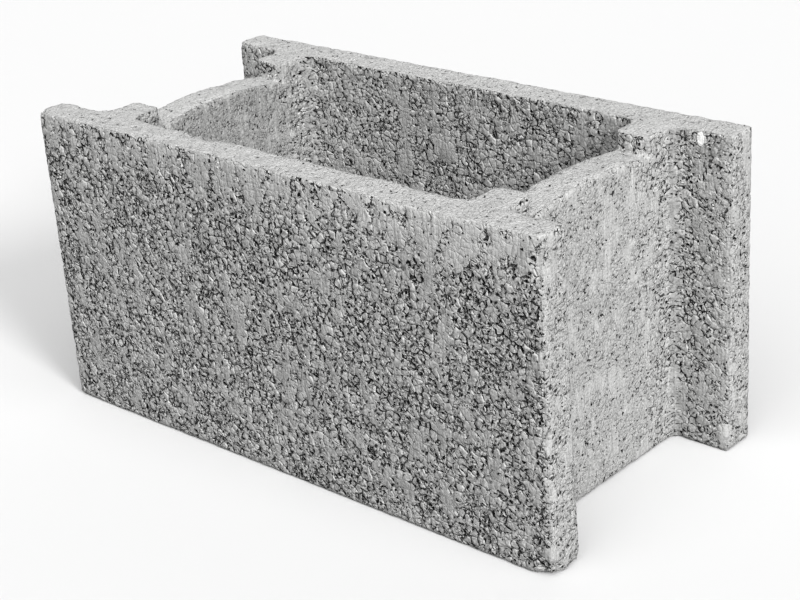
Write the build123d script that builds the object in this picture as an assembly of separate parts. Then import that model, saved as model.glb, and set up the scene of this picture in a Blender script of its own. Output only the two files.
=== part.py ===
from build123d import *
import math
import os

# A hollow concrete shuttering block, as it comes off the block machine.
# The frame: millimetres, X along the block, Y from one long face to the other, Z up.
# The origin is at the middle of the bed face, which is what the block stands on.

# The whole block.
block_length = 500.0
block_width = 250.0
block_height = 250.0

# The walls, measured at the top, where they are thinnest.
shell_thickness = 28.0
web_thickness = 30.0
end_recess_depth = 51.0

# The mould's cores are wider at the top, so that they draw out upwards.
# Each cored face leans by this much over the height of the block.
core_draw = 3.0

# The round corners that the cores leave where a web meets a shell.
cell_corner_radius = 14.0
recess_corner_radius = 12.0

# The gap pressed into the top of each web, where a reinforcing bar is laid across.
# The web keeps its full height beside each shell and ends there in a rounded tongue.
tongue_reach = 32.0
tongue_corner_radius = 7.0
notch_depth_at_tongue = 15.0
notch_depth_at_crown = 9.0

# The worn arrises.
upright_edge_radius = 4.0
recess_lip_radius = 3.0
bed_edge_radius = 2.5
top_edge_radius = 1.5
notch_edge_radius = 3.0

# What follows from the sizes above.
draw_angle = math.degrees(math.atan(core_draw / block_height))
core_width = block_width - 2 * shell_thickness
web_outer_face = block_length / 2 - end_recess_depth
web_inner_face = web_outer_face - web_thickness
web_middle = (web_outer_face + web_inner_face) / 2
tongue_tip = core_width / 2 - tongue_reach
floor_at_tongue = block_height - notch_depth_at_tongue
floor_at_crown = block_height - notch_depth_at_crown

# Two places closer together than this are the same place.
same_place = 0.001


def full_block():
    """The block before it is cored: a plain box with eased upright edges."""
    outline = RectangleRounded(block_length, block_width, upright_edge_radius)
    return extrude(outline, block_height)


def drawn_core(outline):
    """A core of the mould: it hangs from the top and narrows down to the bed."""
    return extrude(Pos(0, 0, block_height) * outline, -block_height, taper=draw_angle)


def cell_core():
    """The core of the large cell between the two webs."""
    return drawn_core(RectangleRounded(2 * web_inner_face, core_width, cell_corner_radius))


def end_core(side):
    """The core of the recess at one end. It runs on well past the end face."""
    run = 2 * end_recess_depth + recess_corner_radius
    outline = RectangleRounded(run, core_width, recess_corner_radius)
    return drawn_core(Pos(side * (web_outer_face + run / 2), 0) * outline)


def web_notch(side):
    """The gap in the top of one web: a crowned floor between two tongues."""
    above = block_height + notch_depth_at_tongue
    crowned_floor = ThreePointArc(
        (-tongue_tip, floor_at_tongue),
        (0, floor_at_crown),
        (tongue_tip, floor_at_tongue),
    )
    open_sides = Polyline(
        (tongue_tip, floor_at_tongue),
        (tongue_tip, above),
        (-tongue_tip, above),
        (-tongue_tip, floor_at_tongue),
    )
    section = Plane.YZ * make_face(crowned_floor + open_sides)
    past_both_faces = web_thickness / 2 + core_draw
    return Pos(side * web_middle, 0, 0) * extrude(section, past_both_faces, both=True)


def edges_where(solid, belongs):
    """The edges of a solid whose middle point is where the rule says."""
    return [edge for edge in solid.edges() if belongs(edge @ 0.5)]


def is_recess_lip(middle):
    """The upright arris between an end face and the side of its recess."""
    on_end_face = abs(abs(middle.X) - block_length / 2) < same_place
    on_recess_side = abs(middle.Y) < core_width / 2 + same_place
    return on_end_face and on_recess_side and same_place < middle.Z < block_height - same_place


def is_tongue_corner(middle):
    """An upright corner of a tongue's tip."""
    on_tip = abs(abs(middle.Y) - tongue_tip) < same_place
    above_floor = floor_at_tongue + same_place < middle.Z < block_height - same_place
    return on_tip and above_floor


def is_notch_edge(middle):
    """The crowned edge between a notch's floor and a face of its web."""
    return abs(middle.Y) < same_place and abs(middle.Z - floor_at_crown) < same_place


block = full_block() - cell_core()
for side in (-1, 1):
    block -= end_core(side)
for side in (-1, 1):
    block -= web_notch(side)

block = fillet(edges_where(block, is_recess_lip), recess_lip_radius)
block = fillet(edges_where(block, is_tongue_corner), tongue_corner_radius)
block = fillet(block.faces().sort_by(Axis.Z)[0].edges(), bed_edge_radius)
block = fillet(block.faces().filter_by(Plane.XY).group_by(Axis.Z)[-1].edges(), top_edge_radius)
block = fillet(edges_where(block, is_notch_edge), notch_edge_radius)

os.makedirs("parts", exist_ok=True)
export_step(block, "parts/block.step")
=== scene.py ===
import math

import bmesh
import bpy
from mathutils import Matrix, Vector


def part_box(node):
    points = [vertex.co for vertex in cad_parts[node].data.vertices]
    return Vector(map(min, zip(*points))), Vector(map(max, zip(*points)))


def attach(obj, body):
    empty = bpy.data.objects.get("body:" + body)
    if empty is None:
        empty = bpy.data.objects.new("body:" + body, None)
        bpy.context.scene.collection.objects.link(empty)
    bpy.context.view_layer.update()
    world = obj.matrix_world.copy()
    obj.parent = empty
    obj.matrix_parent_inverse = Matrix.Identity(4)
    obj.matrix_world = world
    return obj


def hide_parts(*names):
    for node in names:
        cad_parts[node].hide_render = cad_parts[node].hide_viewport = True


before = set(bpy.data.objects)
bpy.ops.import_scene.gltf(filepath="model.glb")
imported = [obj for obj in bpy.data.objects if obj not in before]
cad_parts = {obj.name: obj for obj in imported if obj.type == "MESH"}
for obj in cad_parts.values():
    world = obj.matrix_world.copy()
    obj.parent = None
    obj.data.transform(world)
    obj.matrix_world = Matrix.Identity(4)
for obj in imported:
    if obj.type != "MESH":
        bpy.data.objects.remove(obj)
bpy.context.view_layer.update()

# The block: one hollow casting of open-textured grey concrete. It was pressed in a steel
# mould and stripped upwards while still damp, so its sides show rounded grains with dark
# gaps between them and patches of mortar dragged smooth, and its top is closed by the tamper.

# The frame is in metres. Places and sizes on the block are in millimetres.
MM = 0.001
block_low, block_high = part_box("block")
block_height = block_high.z / MM


class Value:
    """One output of a node tree, so that a sum on it is written as a sum."""

    def __init__(self, recipe, socket):
        self.recipe = recipe
        self.socket = socket

    def sum(self, operation, *others):
        return self.recipe.make("ShaderNodeMath", {"operation": operation}, [self, *others])

    def __add__(self, other):
        return self.sum("ADD", other)

    __radd__ = __add__

    def __mul__(self, other):
        return self.sum("MULTIPLY", other)

    __rmul__ = __mul__

    def __sub__(self, other):
        return self.sum("SUBTRACT", other)

    def __rsub__(self, other):
        return self.recipe.make("ShaderNodeMath", {"operation": "SUBTRACT"}, [other, self])

    def __neg__(self):
        return self * -1.0

    def __abs__(self):
        return self.sum("ABSOLUTE")

    def most(self, other):
        return self.sum("MAXIMUM", other)

    def least(self, other):
        return self.sum("MINIMUM", other)

    def rise(self, start, end):
        """0 up to start, 1 from end on, and a smooth step between them."""
        inputs = {"Value": self, "From Min": start, "From Max": end}
        return self.recipe.make("ShaderNodeMapRange", {"interpolation_type": "SMOOTHSTEP"}, inputs)

    def moved(self, step):
        """A vector with another one added to it."""
        return self.recipe.make("ShaderNodeVectorMath", {"operation": "ADD"}, [self, step])

    def times(self, scale):
        """A vector made longer or shorter."""
        inputs = {"Vector": self, "Scale": scale}
        return self.recipe.make("ShaderNodeVectorMath", {"operation": "SCALE"}, inputs)

    def stretched(self, scales):
        """A vector with a scale of its own along each axis."""
        return self.recipe.make("ShaderNodeVectorMath", {"operation": "MULTIPLY"}, [self, scales])

    def near(self, centre, radius, soft):
        """1 within the radius of a point and 0 outside it, with a soft edge, all in mm."""
        settings = {"operation": "DISTANCE"}
        distance = self.recipe.make("ShaderNodeVectorMath", settings, [self, centre], "Value")
        return (radius - distance).rise(-soft, soft)

    def parts(self):
        """The three numbers of a vector or a colour."""
        node = self.recipe.node("ShaderNodeSeparateXYZ", {}, [self])
        return [Value(self.recipe, socket) for socket in node.outputs]


class Recipe:
    """A node tree that is being filled in, for a shape or for a material."""

    def __init__(self, tree):
        self.tree = tree

    def node(self, kind, settings, inputs):
        """Adds a node. Its inputs come as a list in order, or by name."""
        node = self.tree.nodes.new(kind)
        for name, setting in settings.items():
            setattr(node, name, setting)
        pairs = inputs.items() if isinstance(inputs, dict) else enumerate(inputs)
        for key, given in pairs:
            if isinstance(given, Value):
                self.tree.links.new(given.socket, node.inputs[key])
            else:
                node.inputs[key].default_value = given
        return node

    def make(self, kind, settings, inputs, output=0):
        """Adds a node and gives one of its outputs."""
        return Value(self, self.node(kind, settings, inputs).outputs[output])

    def noise(self, place, size, detail=1.0, rough=0.5, output="Fac"):
        """Smooth noise with lumps about this many millimetres across."""
        inputs = {"Vector": place, "Scale": 1.0 / size, "Detail": detail, "Roughness": rough}
        return self.make("ShaderNodeTexNoise", {}, inputs, output)

    def stones(self, feature, flat, size):
        """Cells packed about this far apart on a flat face, one for each stone."""
        settings = {"feature": feature, "voronoi_dimensions": "2D"}
        return self.node("ShaderNodeTexVoronoi", settings, {"Vector": flat, "Scale": 1.0 / size})

    def stone_lots(self, flat, size):
        """Three numbers drawn by lot for each stone: its luck, its tone and how deep it sank."""
        return Value(self, self.stones("F1", flat, size).outputs["Color"]).parts()

    def stone_edge(self, flat, size):
        """How far it is to the nearest edge between two stones, in mm."""
        return Value(self, self.stones("DISTANCE_TO_EDGE", flat, size).outputs["Distance"]) * size

    def laid_flat(self, place, facing):
        """The two coordinates that run along a face: x and z, y and z, or x and y."""
        x, y, z = place.parts()
        facing_x, _, facing_z = facing.parts()
        turned = abs(facing_x).sum("GREATER_THAN", 0.707)
        level = abs(facing_z).sum("GREATER_THAN", 0.707)
        along = x + turned * (y - x)
        across = z + level * (y - z)
        return self.make("ShaderNodeCombineXYZ", {}, [along, across])

    def blend(self, share, first, second):
        """Mixes two colours."""
        node = self.node("ShaderNodeMix", {"data_type": "RGBA"}, {"Factor": share})
        sockets = [socket for socket in node.inputs if socket.enabled][1:]
        for socket, given in zip(sockets, (first, second)):
            if isinstance(given, Value):
                self.tree.links.new(given.socket, socket)
            else:
                socket.default_value = given
        return Value(self, [socket for socket in node.outputs if socket.enabled][0])


# Where each kind of face begins, measured from the middle of the block or up from its bed.
# The first number is where its share starts to rise, and the second is where it is whole.
end_faces = (236.0, 242.0)
outer_faces = (104.0, 116.0)
recess_lips = (230.0, 246.0)
past_cell_webs = (172.0, 180.0)
beside_shells = (40.0, 92.0)
into_corners = (78.0, 84.0)
past_corners = (95.0, 99.0)
near_top = (block_height - 55.0, block_height - 5.0)
towards_right_end = (-60.0, 160.0)


class Region:
    """Which part of the block a point is on, as soft shares from 0 to 1."""

    def __init__(self, recipe, place, facing):
        x, y, z = place.parts()
        facing_x, facing_y, facing_z = facing.parts()
        self.top = facing_z.rise(0.5, 0.85)
        self.bed = (-facing_z).rise(0.5, 0.85)

        # Webs and ends. Their rims are ragged, and beside the shells a web's face opens up.
        patchy = recipe.noise(place, 15.0, 2.0, 0.6) - 0.5
        self.across = (abs(facing_x) + patchy * 1.3).rise(0.45, 0.85)
        self.end = self.across * abs(x).rise(*end_faces)
        opened = abs(y).rise(*beside_shells) * (patchy * 3.0 + 0.7).most(0.0).least(0.9)
        self.web = (self.across - self.end) * (1.0 - opened)
        self.cell_web = self.web * (1.0 - abs(x).rise(*past_cell_webs))

        # The shells: their outer faces, and the sides that the cores left.
        self.outside = abs(y).rise(*outer_faces)
        self.core_side = (1.0 - self.outside) * abs(facing_y).rise(0.5, 0.8)
        self.lip = self.core_side * (abs(x) + patchy * 16.0).rise(*recess_lips)
        self.near_top = z.rise(*near_top)
        self.right = x.rise(*towards_right_end)

        # The round inside corners between a web and a shell.
        self.flattest = abs(facing_x).most(abs(facing_y)).most(abs(facing_z))
        corner = (1.0 - self.flattest.rise(0.80, 0.97)) * abs(y).rise(*into_corners)
        corner = corner * (1.0 - abs(y).rise(*past_corners))
        self.corner = corner * (1.0 - abs(facing_z).rise(0.2, 0.4))


# The grains: how far apart they lie, and how wide and deep the gaps between them are.
stone_size = 6.0
stone_gap_half_width = 0.92
stone_gap_spread = 3.4
grit_size = 3.3
grit_gap_half_width = 0.68
grit_gap_spread = 2.8
gap_depth = 2.0
mortar_depth = 0.35

# A pale chip in the top of the far right stub, taller than it is wide, and a pebble at its foot.
chip_flattening = (1.0, 1.0, 0.6)
pale_chip_place = (223.0, 97.0, 243.0 * 0.6)
pale_chip_radius = 3.2
pebble_place = (247.0, 95.0, 18.0)
pebble_radius = 5.5


class Casting:
    """The open texture: how deep it lies under the mould's face in mm, and what shows."""

    def __init__(self, recipe, place, facing, arris):
        on = Region(recipe, place, facing)
        self.on = on

        # Mortar dragged smooth as the mould was drawn off, most of all near the top.
        drag = recipe.noise(place.stretched((1.0, 1.0, 0.5)), 13.0, 3.0, 0.65)
        drag = drag + on.near_top * on.outside * (0.10 + on.right * 0.03) + on.web * 0.04
        smear = drag.rise(0.55, 0.64) * (1.0 - on.top)
        self.smear = smear
        self.striae = recipe.noise(place.stretched((1.0, 1.0, 0.08)), 2.2, 2.0, 0.6) - 0.4

        # Faces that the mould or the tamper pressed closed.
        struck = on.top.most(on.bed * 0.7).most(on.web * 0.72).most(on.end * 0.6)
        struck = struck.most(arris * 0.3).most(on.lip * 0.4)
        self.struck = struck

        chip_space = place.stretched(chip_flattening)
        self.pale_chip = chip_space.near(pale_chip_place, pale_chip_radius, 0.5)
        self.pebble = place.near(pebble_place, pebble_radius, 0.5)
        plain = 1.0 - self.pale_chip.most(self.pebble)

        # About half of the stones are broken up into grit, and on struck faces most of them are.
        push = recipe.noise(place, 5.0, 1.0, 0.4, "Color").moved((-0.5, -0.5, -0.5))
        pushed = place.moved(push.times(3.0))
        self.flat = recipe.laid_flat(pushed, facing)
        self.flat_grit = recipe.laid_flat(pushed.moved((31.0, 17.0, 5.0)), facing)
        luck, self.stone_tone, self.sunk = recipe.stone_lots(self.flat, stone_size)
        self.broken = luck.rise(0.48, 0.52).most(struck)
        stone_edge = recipe.stone_edge(self.flat, stone_size)
        grit_edge = recipe.stone_edge(self.flat_grit, grit_size)

        # The gaps are open in places only: between stones where the patch is high, and between
        # grit where it is low. Dragged and struck mortar closes them.
        patch = recipe.noise(place, 3.6, 1.5, 0.6) - 0.5
        stone_open = patch + self.sunk * 0.16 - 0.127 - smear * 0.42 - struck * 0.22
        stone_open = (stone_open - on.core_side * 0.03).rise(-0.005, 0.02)
        grit_open = -patch - 0.067 - smear * 0.34 - struck * 0.05
        grit_open = grit_open - on.web * 0.04 - on.top * 0.09 - on.core_side * 0.02
        grit_open = grit_open.rise(-0.005, 0.02) * self.broken
        width = recipe.noise(place.moved((5.0, 9.0, 2.0)), 2.6, 0.0, 0.5) - 0.5
        stone_gap = stone_gap_half_width + width * stone_gap_spread - stone_edge
        grit_gap = grit_gap_half_width + width * grit_gap_spread - grit_edge
        self.stone_gap = stone_gap.rise(-0.06, 0.06) * stone_open * plain
        self.grit_gap = grit_gap.rise(-0.05, 0.05) * grit_open * plain
        spots = recipe.noise(place.moved((3.0, 8.0, 1.0)), 2.9, 1.0, 0.5)
        spots = spots - 0.035 - struck * 0.01 - smear * 0.02 - on.top * 0.01
        self.pits = spots.rise(0.64, 0.69) * plain
        gap = self.stone_gap.most(self.grit_gap).most(self.pits)

        # Painted highlight: the rim of a grain beside an open gap is paler, as where it catches
        # the light.
        stone_rim = (1.0 - abs(stone_edge - 1.15).rise(0.2, 0.7)) * stone_open
        grit_rim = (1.0 - abs(grit_edge - 0.95).rise(0.15, 0.5)) * grit_open
        self.rim = stone_rim.most(grit_rim)

        # The depth. Grains are round towards their edges, and some sank deeper than others. The
        # pattern fades out where a face bends round, because it can't be laid flat there.
        stone_shoulder = (1.7 - stone_edge).most(0.0)
        grit_shoulder = (0.9 - grit_edge).most(0.0)
        rounding = stone_shoulder * stone_shoulder * 0.25 * (1.0 - struck)
        rounding = rounding + grit_shoulder * grit_shoulder * 0.5 * self.broken
        grains = rounding + gap * gap_depth + self.sunk * 0.5 * (1.0 - struck)
        grains = grains * on.flattest.rise(0.71, 0.80) * (1.0 - 0.6 * smear)
        lumps = (recipe.noise(place, 3.4, 1.0, 0.5) - 0.5) * (0.6 - smear * 0.35)
        swells = (recipe.noise(place, 9.0, 2.0, 0.6) - 0.5) * on.top * 2.6
        depth = grains + self.striae * smear * 0.9 + lumps + swells + mortar_depth
        self.depth = depth.most(0.0) * (1.0 - self.pale_chip * 1.6)


# What is cut into the mesh, in millimetres but for the share. The mesh takes only a share of
# the grain's depth, so that it stays light, and the material's bump shows the rest.
relief_sizes = {
    "Deepest Grain": 3.0,
    "Grain Share": 0.4,
    "Top Roll": 1.8,
    "Chip Depth": 1.9,
    "Crumb Depth": 0.4,
    "Foot Swell": 1.5,
}

# Corners that broke off: the place, the radius and the depth of each.
broken_corners = [
    ((248.0, -124.0, 0.0), 12.0, 3.5),
    ((250.0, -98.0, 0.0), 8.0, 2.5),
    ((-97.0, -96.0, 250.0), 6.0, 2.5),
    ((-77.0, -95.0, 250.0), 8.0, 3.0),
    ((-60.0, -94.0, 250.0), 5.0, 2.5),
    ((-248.0, -124.0, 250.0), 5.0, 1.5),
]
into_recesses = (203.0, 215.0)
past_recess_sides = (100.0, 108.0)
swollen_height = 80.0


def relief_tree():
    """Cuts the casting's texture, its rolling top and its worn arrises into a fine mesh."""
    tree = bpy.data.node_groups.new("cast relief", "GeometryNodeTree")
    tree.interface.new_socket("Block", in_out="INPUT", socket_type="NodeSocketGeometry")
    tree.interface.new_socket("Material", in_out="INPUT", socket_type="NodeSocketMaterial")
    for name in relief_sizes:
        tree.interface.new_socket(name, in_out="INPUT", socket_type="NodeSocketFloat")
    tree.interface.new_socket("Block", in_out="OUTPUT", socket_type="NodeSocketGeometry")
    recipe = Recipe(tree)
    group_input = recipe.node("NodeGroupInput", {}, {})
    given = {socket.name: Value(recipe, socket) for socket in group_input.outputs}

    def keep(geometry, name, value, data_type):
        inputs = {"Geometry": geometry, "Name": name, "Value": value}
        return recipe.make("GeometryNodeStoreNamedAttribute", {"data_type": data_type}, inputs)

    def kept(name, data_type):
        settings = {"data_type": data_type}
        return recipe.make("GeometryNodeInputNamedAttribute", settings, {"Name": name})

    # The place and the facing of the mould's face are kept, from before anything is cut.
    position = recipe.make("GeometryNodeInputPosition", {}, {})
    normal = recipe.make("GeometryNodeInputNormal", {}, {})
    x, y, z = normal.parts()
    edge = 1.0 - abs(x).most(abs(y)).most(abs(z)).rise(0.86, 0.995)
    inputs = {0: edge, "Iterations": 2, "Weight": 1.0}
    arris = recipe.make("GeometryNodeBlurAttribute", {"data_type": "FLOAT"}, inputs)
    block = keep(given["Block"], "cast_place", position.times(1.0 / MM), "FLOAT_VECTOR")
    block = keep(block, "cast_facing", normal, "FLOAT_VECTOR")
    block = keep(block, "cast_arris", arris, "FLOAT")
    place = kept("cast_place", "FLOAT_VECTOR")
    facing = kept("cast_facing", "FLOAT_VECTOR")
    worn = kept("cast_arris", "FLOAT")

    casting = Casting(recipe, place, facing, worn)
    grain = casting.depth.least(given["Deepest Grain"]) * given["Grain Share"]
    block = keep(block, "cast_depth", grain, "FLOAT")
    rolling = recipe.noise(place, 42.0, 1.0).rise(0.35, 0.75) * casting.on.top * given["Top Roll"]
    chips = recipe.noise(place, 9.0, 3.0, 0.6).rise(0.45, 0.75)
    crumbs = recipe.noise(place, 3.0, 1.0).rise(0.35, 0.65)
    worn_depth = worn * (given["Chip Depth"] * chips + given["Crumb Depth"] * crumbs)
    cut = (kept("cast_depth", "FLOAT") + rolling + worn_depth).most(0.0)
    for centre, radius, bite in broken_corners:
        cut = cut + place.near(centre, radius, radius * 0.4) * bite * (0.6 + chips)

    # The sides of the end recesses swell at the foot, where the damp block settled.
    along, across, height = place.parts()
    in_recess = abs(along).rise(*into_recesses) * (1.0 - abs(across).rise(*past_recess_sides))
    on_side = abs(facing.parts()[1]).rise(0.4, 0.9)
    swelling = (1.0 - height.rise(0.0, swollen_height)) * in_recess * on_side * given["Foot Swell"]

    offset = facing.times((cut - swelling) * -MM)
    block = recipe.make("GeometryNodeSetPosition", {}, {"Geometry": block, "Offset": offset})
    block = recipe.make("GeometryNodeRealizeInstances", {}, {"Geometry": block})
    inputs = {"Geometry": block, "Material": given["Material"]}
    block = recipe.make("GeometryNodeSetMaterial", {}, inputs)
    recipe.node("NodeGroupOutput", {}, {"Block": block})
    return tree


# Mortar and grains run between two greys, and other things lie over them.
dark_mortar = (0.12, 0.12, 0.118, 1)
pale_mortar = (0.79, 0.79, 0.78, 1)
tamped_top = (0.66, 0.66, 0.655, 1)
# Painted shade along the arrises and round the inside corners.
painted_arris_shade = (0.2, 0.2, 0.198, 1)
# Paler in ragged patches along the arrises.
pale_arris_patch = (0.78, 0.78, 0.77, 1)
# Painted shade at the foot of a grain.
shaded_foot = (0.004, 0.004, 0.004, 1)
# Painted shade inside an open gap.
painted_gap_shade = (0.003, 0.003, 0.003, 1)
white_chip = (0.95, 0.95, 0.94, 1)
grey_pebble = (0.62, 0.62, 0.61, 1)
concrete_roughness = 0.95
concrete_shine = 0.05

# Steps between grains are painted with the shade and highlight that light from this side gives
# them. The key lamp stands there.
lit_from = (0.84, -0.24, 0.48)


def concrete():
    """Raw grey concrete: matt, with its gaps painted dark as shade, paler struck faces and grains
    of many greys.
    """
    material = bpy.data.materials.new("cast concrete")
    material.use_nodes = True
    material.node_tree.nodes.clear()
    recipe = Recipe(material.node_tree)

    def kept(name, output):
        return recipe.make("ShaderNodeAttribute", {"attribute_name": name}, {}, output)

    place = kept("cast_place", "Vector")
    facing = kept("cast_facing", "Vector")
    arris = kept("cast_arris", "Fac")
    casting = Casting(recipe, place, facing, arris)
    on = casting.on
    open_face = 1.0 - casting.smear.most(casting.struck * 0.75)

    # Painted shade and highlight: a grain that sank deeper than the next one towards the light has
    # its foot there painted dark as its shadow, and one that stands higher has its shoulder
    # painted pale as its highlight.
    ahead = recipe.laid_flat(recipe.make("ShaderNodeCombineXYZ", {}, lit_from), facing)
    _, _, sunk_ahead = recipe.stone_lots(casting.flat.moved(ahead.times(1.3)), stone_size)
    _, _, grit = recipe.stone_lots(casting.flat_grit, grit_size)
    _, _, grit_ahead = recipe.stone_lots(casting.flat_grit.moved(ahead.times(0.9)), grit_size)
    stone_climb = casting.sunk - sunk_ahead
    grit_climb = (grit - grit_ahead) * casting.broken
    torn = recipe.noise(place.moved((7.0, 3.0, 9.0)), 3.6, 0.0, 0.5).rise(0.44, 0.52)
    foot = stone_climb.rise(0.08, 0.16).most(grit_climb.rise(0.2, 0.3))
    foot = foot * open_face.rise(0.0, 0.7) * torn
    shoulder = (-stone_climb).rise(0.2, 0.5).most((-grit_climb).rise(0.3, 0.6)) * open_face

    # Painted shade: the gaps and pits are painted near black, darkest where a grain stands between
    # them and the light.
    stone_turn = recipe.stone_edge(casting.flat.moved(ahead.times(1.5)), stone_size)
    grit_turn = recipe.stone_edge(casting.flat_grit.moved(ahead.times(1.1)), grit_size)
    stone_gap_shade_share = casting.stone_gap * (0.85 + 0.15 * stone_turn.rise(0.4, 1.0))
    grit_gap_shade_share = casting.grit_gap * (0.85 + 0.15 * grit_turn.rise(0.3, 0.7))
    gap_shade_share = stone_gap_shade_share.most(grit_gap_shade_share).most(casting.pits)

    # How pale the surface is. The numbers say how much each thing adds or takes away.
    luck = (casting.stone_tone - 0.5) * (1.0 - casting.struck)
    fine = recipe.noise(place, 1.5, 0.0, 0.5) - 0.5
    # Paler near the top of the outer faces, most towards the right end.
    crest = on.near_top * on.outside * (0.3 + on.right * 0.7) * (1.0 - on.top)
    crest = crest * (1.0 - on.across) * (1.0 - arris)
    dull = casting.smear * (1.0 - on.across)
    # Painted highlight: the shoulders of grains and the rims beside open gaps are paler.
    light = luck * 0.10 + fine * (0.30 + 0.26 * open_face) + shoulder * 0.22
    light = light + casting.rim * 0.22 - on.top * 0.02 + on.end.most(on.lip) * 0.02
    # Painted shade: the webs inside the cells and the round inside corners are darker, as where
    # shade falls.
    light = light - on.cell_web * 0.14 - on.corner * 0.05 + crest * 0.16 - dull * 0.09
    light = (light + casting.striae * casting.smear * 0.5).rise(-0.5, 0.5)

    tone = recipe.blend(light, dark_mortar, pale_mortar)
    tone = recipe.blend(on.top * 0.3, tone, tamped_top)
    # Paler in ragged patches along the arrises.
    arris_patches = recipe.noise(place, 5.0, 2.0, 0.6).rise(0.42, 0.62) * arris.rise(0.3, 0.8)
    # Painted shade along every bend of the faces, the outer arrises and the round inside corners
    # alike.
    tone = recipe.blend(arris.rise(0.3, 0.9) * 0.35, tone, painted_arris_shade)
    tone = recipe.blend(arris_patches * 0.15, tone, pale_arris_patch)
    # Painted shade at the feet of the grains.
    tone = recipe.blend(foot * 0.95, tone, shaded_foot)
    # Painted shade inside the open gaps and pits.
    tone = recipe.blend(gap_shade_share * 0.99, tone, painted_gap_shade)
    tone = recipe.blend(casting.pale_chip, tone, white_chip)
    tone = recipe.blend(casting.pebble * 0.8, tone, grey_pebble)

    # The bump shows the depth that isn't cut into the mesh.
    left = kept("cast_depth", "Fac") - casting.depth
    bump = recipe.make("ShaderNodeBump", {}, {"Strength": 1.0, "Distance": MM, "Height": left})
    inputs = {"Base Color": tone, "Roughness": concrete_roughness, "Normal": bump,
              "Specular IOR Level": concrete_shine}
    shader = recipe.make("ShaderNodeBsdfPrincipled", {}, inputs)
    recipe.node("ShaderNodeOutputMaterial", {}, {"Surface": shader})
    return material


# The mesh is cut fine for the relief, and then thinned to a share of its faces.
fine_mesh_size = 1.4
faces_kept = 0.25


def block_skin():
    """The whole casting as one closed mesh, cut from a fine copy of the frame's block."""
    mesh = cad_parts["block"].data.copy()
    mesh.materials.clear()
    merged = bmesh.new()
    merged.from_mesh(mesh)
    bmesh.ops.remove_doubles(merged, verts=merged.verts, dist=0.001 * MM)
    merged.to_mesh(mesh)
    merged.free()
    start = bpy.data.objects.new("uncut_block", mesh)
    bpy.context.scene.collection.objects.link(start)
    fine = start.modifiers.new("fine", "REMESH")
    fine.mode = "VOXEL"
    fine.voxel_size = fine_mesh_size * MM
    relief = start.modifiers.new("relief", "NODES")
    relief.node_group = relief_tree()
    sockets = relief.node_group.interface.items_tree
    places = {socket.name: socket.identifier for socket in sockets if socket.in_out == "INPUT"}
    relief[places["Material"]] = concrete()
    for name, size in relief_sizes.items():
        relief[places[name]] = size
    thin = start.modifiers.new("thin", "DECIMATE")
    thin.ratio = faces_kept
    depsgraph = bpy.context.evaluated_depsgraph_get()
    cut = bpy.data.meshes.new_from_object(start.evaluated_get(depsgraph), depsgraph=depsgraph)
    cut.name = "cast_block"
    for polygon in cut.polygons:
        polygon.use_smooth = True

    # The mould's face is as far out as the concrete can be.
    for vertex in cut.vertices:
        sides = zip(vertex.co, block_low, block_high)
        vertex.co = [min(max(at, low), high) for at, low, high in sides]
    piece = bpy.data.objects.new("cast_block", cut)
    bpy.context.scene.collection.objects.link(piece)
    bpy.data.objects.remove(start)
    return piece


skin = block_skin()
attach(skin, "root")
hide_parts("block")

# The floor: a plain pale sheet of matt paint that the block stands on. It keeps the block's
# soft shadow, and is darker to the light that it throws back up than it is to the eye.

floor_reach = 6.0
floor_to_the_light = (0.25, 0.25, 0.25, 1)
floor_to_the_eye = (0.75, 0.75, 0.75, 1)


def seen_by_eye(recipe):
    """1 for what the camera sees, straight, mirrored or through glass, and 0 for the light."""
    path = recipe.node("ShaderNodeLightPath", {}, {})
    seen = Value(recipe, path.outputs["Is Camera Ray"])
    seen = seen.most(Value(recipe, path.outputs["Is Glossy Ray"]))
    return seen.most(Value(recipe, path.outputs["Is Transmission Ray"]))


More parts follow.
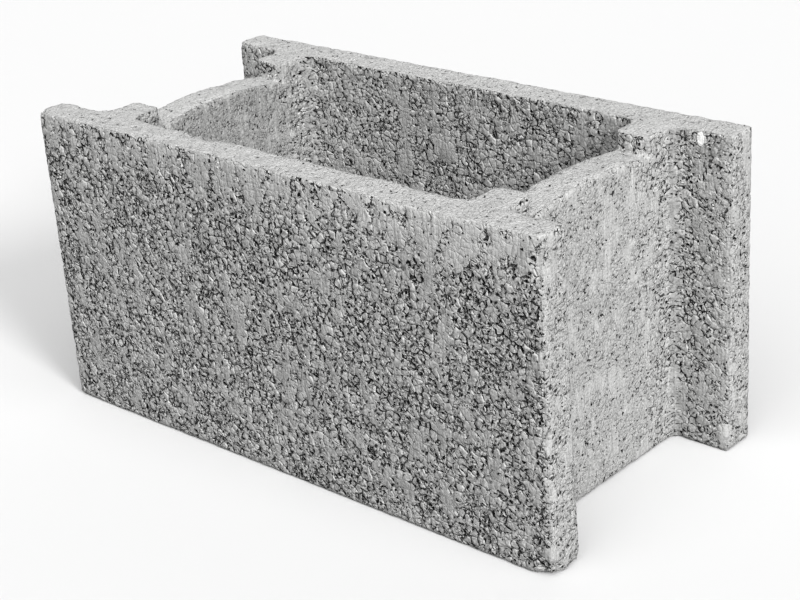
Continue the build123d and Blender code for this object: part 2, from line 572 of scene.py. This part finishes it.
corners = [(-floor_reach, -floor_reach, 0), (floor_reach, -floor_reach, 0),
           (floor_reach, floor_reach, 0), (-floor_reach, floor_reach, 0)]
floor_mesh = bpy.data.meshes.new("floor")
floor_mesh.from_pydata(corners, [], [(0, 1, 2, 3)])
floor = bpy.data.objects.new("floor", floor_mesh)
bpy.context.scene.collection.objects.link(floor)
paint = bpy.data.materials.new("floor paint")
paint.use_nodes = True
paint.node_tree.nodes.clear()
recipe = Recipe(paint.node_tree)
tone = recipe.blend(seen_by_eye(recipe), floor_to_the_light, floor_to_the_eye)
inputs = {"Base Color": tone, "Roughness": 1.0, "Specular IOR Level": 0.0}
shader = recipe.make("ShaderNodeBsdfPrincipled", {}, inputs)
recipe.node("ShaderNodeOutputMaterial", {}, {"Surface": shader})
floor_mesh.materials.append(paint)

# The light: a soft key from the right, a broad one from above, and a low one from behind for
# the sides that the photograph doesn't show. The sky is faint and even, and looks white.

sky_strength = 0.14
backdrop_strength = 1.0
white = (1, 1, 1, 1)


def sun(name, towards, share, spread):
    """A far lamp. The share is how bright it makes a white sheet that faces it."""
    lamp = bpy.data.lights.new(name, "SUN")
    lamp.energy = share * math.pi
    lamp.angle = math.radians(spread)
    holder = bpy.data.objects.new(name, lamp)
    bpy.context.scene.collection.objects.link(holder)
    holder.rotation_euler = Vector(towards).to_track_quat("Z", "Y").to_euler()


sun("key", lit_from, 0.70, 14)
sun("overhead", (0.40, -0.46, 0.79), 0.92, 80)
sun("behind", (-0.64, 0.74, 0.20), 0.30, 100)
world = bpy.data.worlds.new("studio")
bpy.context.scene.world = world
world.use_nodes = True
world.node_tree.nodes.clear()
recipe = Recipe(world.node_tree)
seen = seen_by_eye(recipe)
sky = recipe.make("ShaderNodeBackground", {}, {"Color": white, "Strength": sky_strength})
backdrop = recipe.make("ShaderNodeBackground", {}, {"Color": white, "Strength": backdrop_strength})
both = recipe.make("ShaderNodeMixShader", {}, [seen, sky, backdrop])
recipe.node("ShaderNodeOutputWorld", {}, {"Surface": both})

# The camera stands where the photograph was taken from, in front of the block, to the right
# of it and above it. Its place is in metres and its turn in degrees.

camera_place = (0.8951, -0.9437, 0.6704)
camera_turn = (66.247, 3.765, 41.479)
lens = bpy.data.cameras.new("camera")
lens.sensor_width = 36.0
lens.lens = 81.57
camera = bpy.data.objects.new("camera", lens)
camera.location = camera_place
camera.rotation_euler = [math.radians(angle) for angle in camera_turn]
bpy.context.scene.collection.objects.link(camera)
bpy.context.scene.camera = camera
bpy.context.scene.view_settings.view_transform = "Standard"
